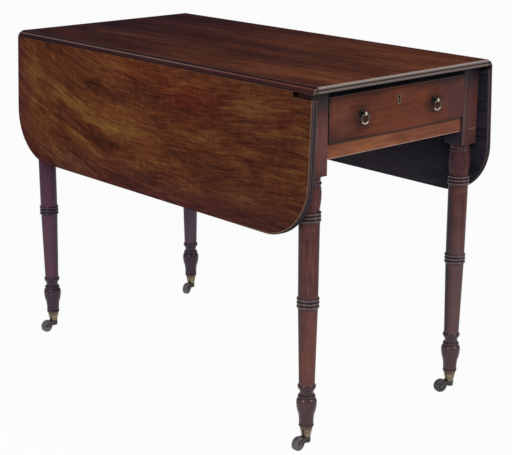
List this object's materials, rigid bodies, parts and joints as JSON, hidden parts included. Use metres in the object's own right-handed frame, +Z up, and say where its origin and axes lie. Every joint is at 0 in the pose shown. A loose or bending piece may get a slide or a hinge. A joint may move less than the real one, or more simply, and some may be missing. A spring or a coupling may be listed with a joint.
{
  "type": "pembroke table",
  "caption": "Rectangular table with hinged drop leaves on rule joints, a frieze drawer with ring pulls, ring-turned tapered legs and trailing brass cup castors.",
  "frame": {"origin": "on the floor under the middle of the top", "axes": "+X across the table to the right leaf, +Y along the top away from the drawer, +Z up"},
  "size_m": [0.527, 0.966, 0.72],
  "materials": {
    "top_wood": "french polished mahogany",
    "leaf_wood": "french polished figured mahogany",
    "leg_wood": "polished turned mahogany",
    "front_wood": "polished mahogany",
    "rail_wood": "polished mahogany, lighter",
    "carcase_wood": "plain pine, unpolished",
    "drawer_lining": "plain oak, unpolished",
    "fly_wood": "plain beech, unpolished",
    "iron": "dark wrought iron",
    "brass": "worn brass",
    "castor_brass": "dull dark brass"
  },
  "bodies": {
    "frame": {"castor_cups": "brass", "drawer_kickers": "carcase_wood", "drawer_rail": "rail_wood", "drawer_runners": "carcase_wood", "drawer_stops": "carcase_wood", "false_front": "front_wood", "far_pull_rosettes": "brass", "far_rail": "rail_wood", "far_top_rail": "rail_wood", "fly_pins": "iron", "fly_rail_left": "fly_wood", "fly_rail_right": "fly_wood", "hinge_pins": "iron", "hinge_plates_top": "iron", "hinge_screws_top": "iron", "leg_far_left": "leg_wood", "leg_far_right": "leg_wood", "leg_near_left": "leg_wood", "leg_near_right": "leg_wood", "side_rail_left": "carcase_wood", "side_rail_right": "carcase_wood", "table_top": "top_wood", "top_rail": "rail_wood", "top_screws": "iron"},
    "leaf_left": {"leaf_left": "leaf_wood", "hinge_plates_left": "iron", "hinge_screws_left": "iron"},
    "leaf_right": {"leaf_right": "leaf_wood", "hinge_plates_right": "iron", "hinge_screws_right": "iron"},
    "drawer": {"drawer_front": "front_wood", "drawer_side_left": "drawer_lining", "drawer_side_right": "drawer_lining", "drawer_back": "drawer_lining", "drawer_bottom": "drawer_lining", "keyhole_escutcheon": "brass", "lock_case": "brass", "pull_rosettes": "brass", "pull_nuts": "brass"},
    "lock_bolt": {"lock_bolt": "iron"},
    "ring_near_left": {"ring_pull_near_left": "brass"},
    "bracket_near_left": {"fly_bracket_near_left": "fly_wood"},
    "castor_near_left": {"castor_horn_near_left": "castor_brass", "castor_axle_near_left": "castor_brass"},
    "wheel_near_left": {"castor_wheel_near_left": "castor_brass"},
    "ring_near_right": {"ring_pull_near_right": "brass"},
    "bracket_near_right": {"fly_bracket_near_right": "fly_wood"},
    "castor_near_right": {"castor_horn_near_right": "castor_brass", "castor_axle_near_right": "castor_brass"},
    "wheel_near_right": {"castor_wheel_near_right": "castor_brass"},
    "ring_far_left": {"ring_pull_far_left": "brass"},
    "bracket_far_left": {"fly_bracket_far_left": "fly_wood"},
    "castor_far_left": {"castor_horn_far_left": "castor_brass", "castor_axle_far_left": "castor_brass"},
    "wheel_far_left": {"castor_wheel_far_left": "castor_brass"},
    "ring_far_right": {"ring_pull_far_right": "brass"},
    "bracket_far_right": {"fly_bracket_far_right": "fly_wood"},
    "castor_far_right": {"castor_horn_far_right": "castor_brass", "castor_axle_far_right": "castor_brass"},
    "wheel_far_right": {"castor_wheel_far_right": "castor_brass"}
  },
  "joints": [
    {"name": "leaf_left_hinge", "type": "hinge", "parent": "frame", "child": "leaf_left", "pos_m": [-0.239, 0, 0.7075], "axis": [0, 1, 0], "range_deg": [0, 87.5]},
    {"name": "leaf_right_hinge", "type": "hinge", "parent": "frame", "child": "leaf_right", "pos_m": [0.239, 0, 0.7075], "axis": [0, -1, 0], "range_deg": [0, 87.5]},
    {"name": "drawer_slide", "type": "slide", "parent": "frame", "child": "drawer", "axis": [0, -1, 0], "range_m": [0, 0.42]},
    {"name": "lock_bolt_throw", "type": "slide", "parent": "drawer", "child": "lock_bolt", "axis": [0, 0, 1], "range_m": [0, 0.006]},
    {"name": "ring_near_left_swing", "type": "hinge", "parent": "drawer", "child": "ring_near_left", "pos_m": [-0.102, -0.4692, 0.653], "axis": [-1, 0, 0], "range_deg": [0, 120]},
    {"name": "ring_near_right_swing", "type": "hinge", "parent": "drawer", "child": "ring_near_right", "pos_m": [0.102, -0.4692, 0.653], "axis": [-1, 0, 0], "range_deg": [0, 120]},
    {"name": "ring_far_left_swing", "type": "hinge", "parent": "frame", "child": "ring_far_left", "pos_m": [-0.102, 0.4692, 0.653], "axis": [1, 0, 0], "range_deg": [0, 120]},
    {"name": "ring_far_right_swing", "type": "hinge", "parent": "frame", "child": "ring_far_right", "pos_m": [0.102, 0.4692, 0.653], "axis": [1, 0, 0], "range_deg": [0, 120]},
    {"name": "bracket_near_left_swing", "type": "hinge", "parent": "frame", "child": "bracket_near_left", "pos_m": [-0.223, -0.2, 0.65], "axis": [0, 0, -1], "range_deg": [0, 2]},
    {"name": "bracket_near_right_swing", "type": "hinge", "parent": "frame", "child": "bracket_near_right", "pos_m": [0.223, -0.2, 0.65], "axis": [0, 0, 1], "range_deg": [0, 2]},
    {"name": "bracket_far_left_swing", "type": "hinge", "parent": "frame", "child": "bracket_far_left", "pos_m": [-0.223, 0.2, 0.65], "axis": [0, 0, 1], "range_deg": [0, 2]},
    {"name": "bracket_far_right_swing", "type": "hinge", "parent": "frame", "child": "bracket_far_right", "pos_m": [0.223, 0.2, 0.65], "axis": [0, 0, -1], "range_deg": [0, 2]},
    {"name": "castor_near_left_swivel", "type": "hinge", "parent": "frame", "child": "castor_near_left", "pos_m": [-0.214, -0.4385, 0.02], "axis": [0, 0, 1], "continuous": true},
    {"name": "wheel_near_left_roll", "type": "hinge", "parent": "castor_near_left", "child": "wheel_near_left", "pos_m": [-0.235, -0.4385, 0.014], "axis": [0, 1, 0], "continuous": true},
    {"name": "castor_near_right_swivel", "type": "hinge", "parent": "frame", "child": "castor_near_right", "pos_m": [0.214, -0.4385, 0.02], "axis": [0, 0, 1], "continuous": true},
    {"name": "wheel_near_right_roll", "type": "hinge", "parent": "castor_near_right", "child": "wheel_near_right", "pos_m": [0.19453, -0.43063, 0.014], "axis": [0.3746, 0.9272, 0], "continuous": true},
    {"name": "castor_far_left_swivel", "type": "hinge", "parent": "frame", "child": "castor_far_left", "pos_m": [-0.214, 0.4385, 0.02], "axis": [0, 0, 1], "continuous": true},
    {"name": "wheel_far_left_roll", "type": "hinge", "parent": "castor_far_left", "child": "wheel_far_left", "pos_m": [-0.23489, 0.4363, 0.014], "axis": [-0.1045, 0.9945, 0], "continuous": true},
    {"name": "castor_far_right_swivel", "type": "hinge", "parent": "frame", "child": "castor_far_right", "pos_m": [0.214, 0.4385, 0.02], "axis": [0, 0, 1], "continuous": true},
    {"name": "wheel_far_right_roll", "type": "hinge", "parent": "castor_far_right", "child": "wheel_far_right", "pos_m": [0.19427, 0.43132, 0.014], "axis": [-0.342, 0.9397, 0], "continuous": true}
  ]
}
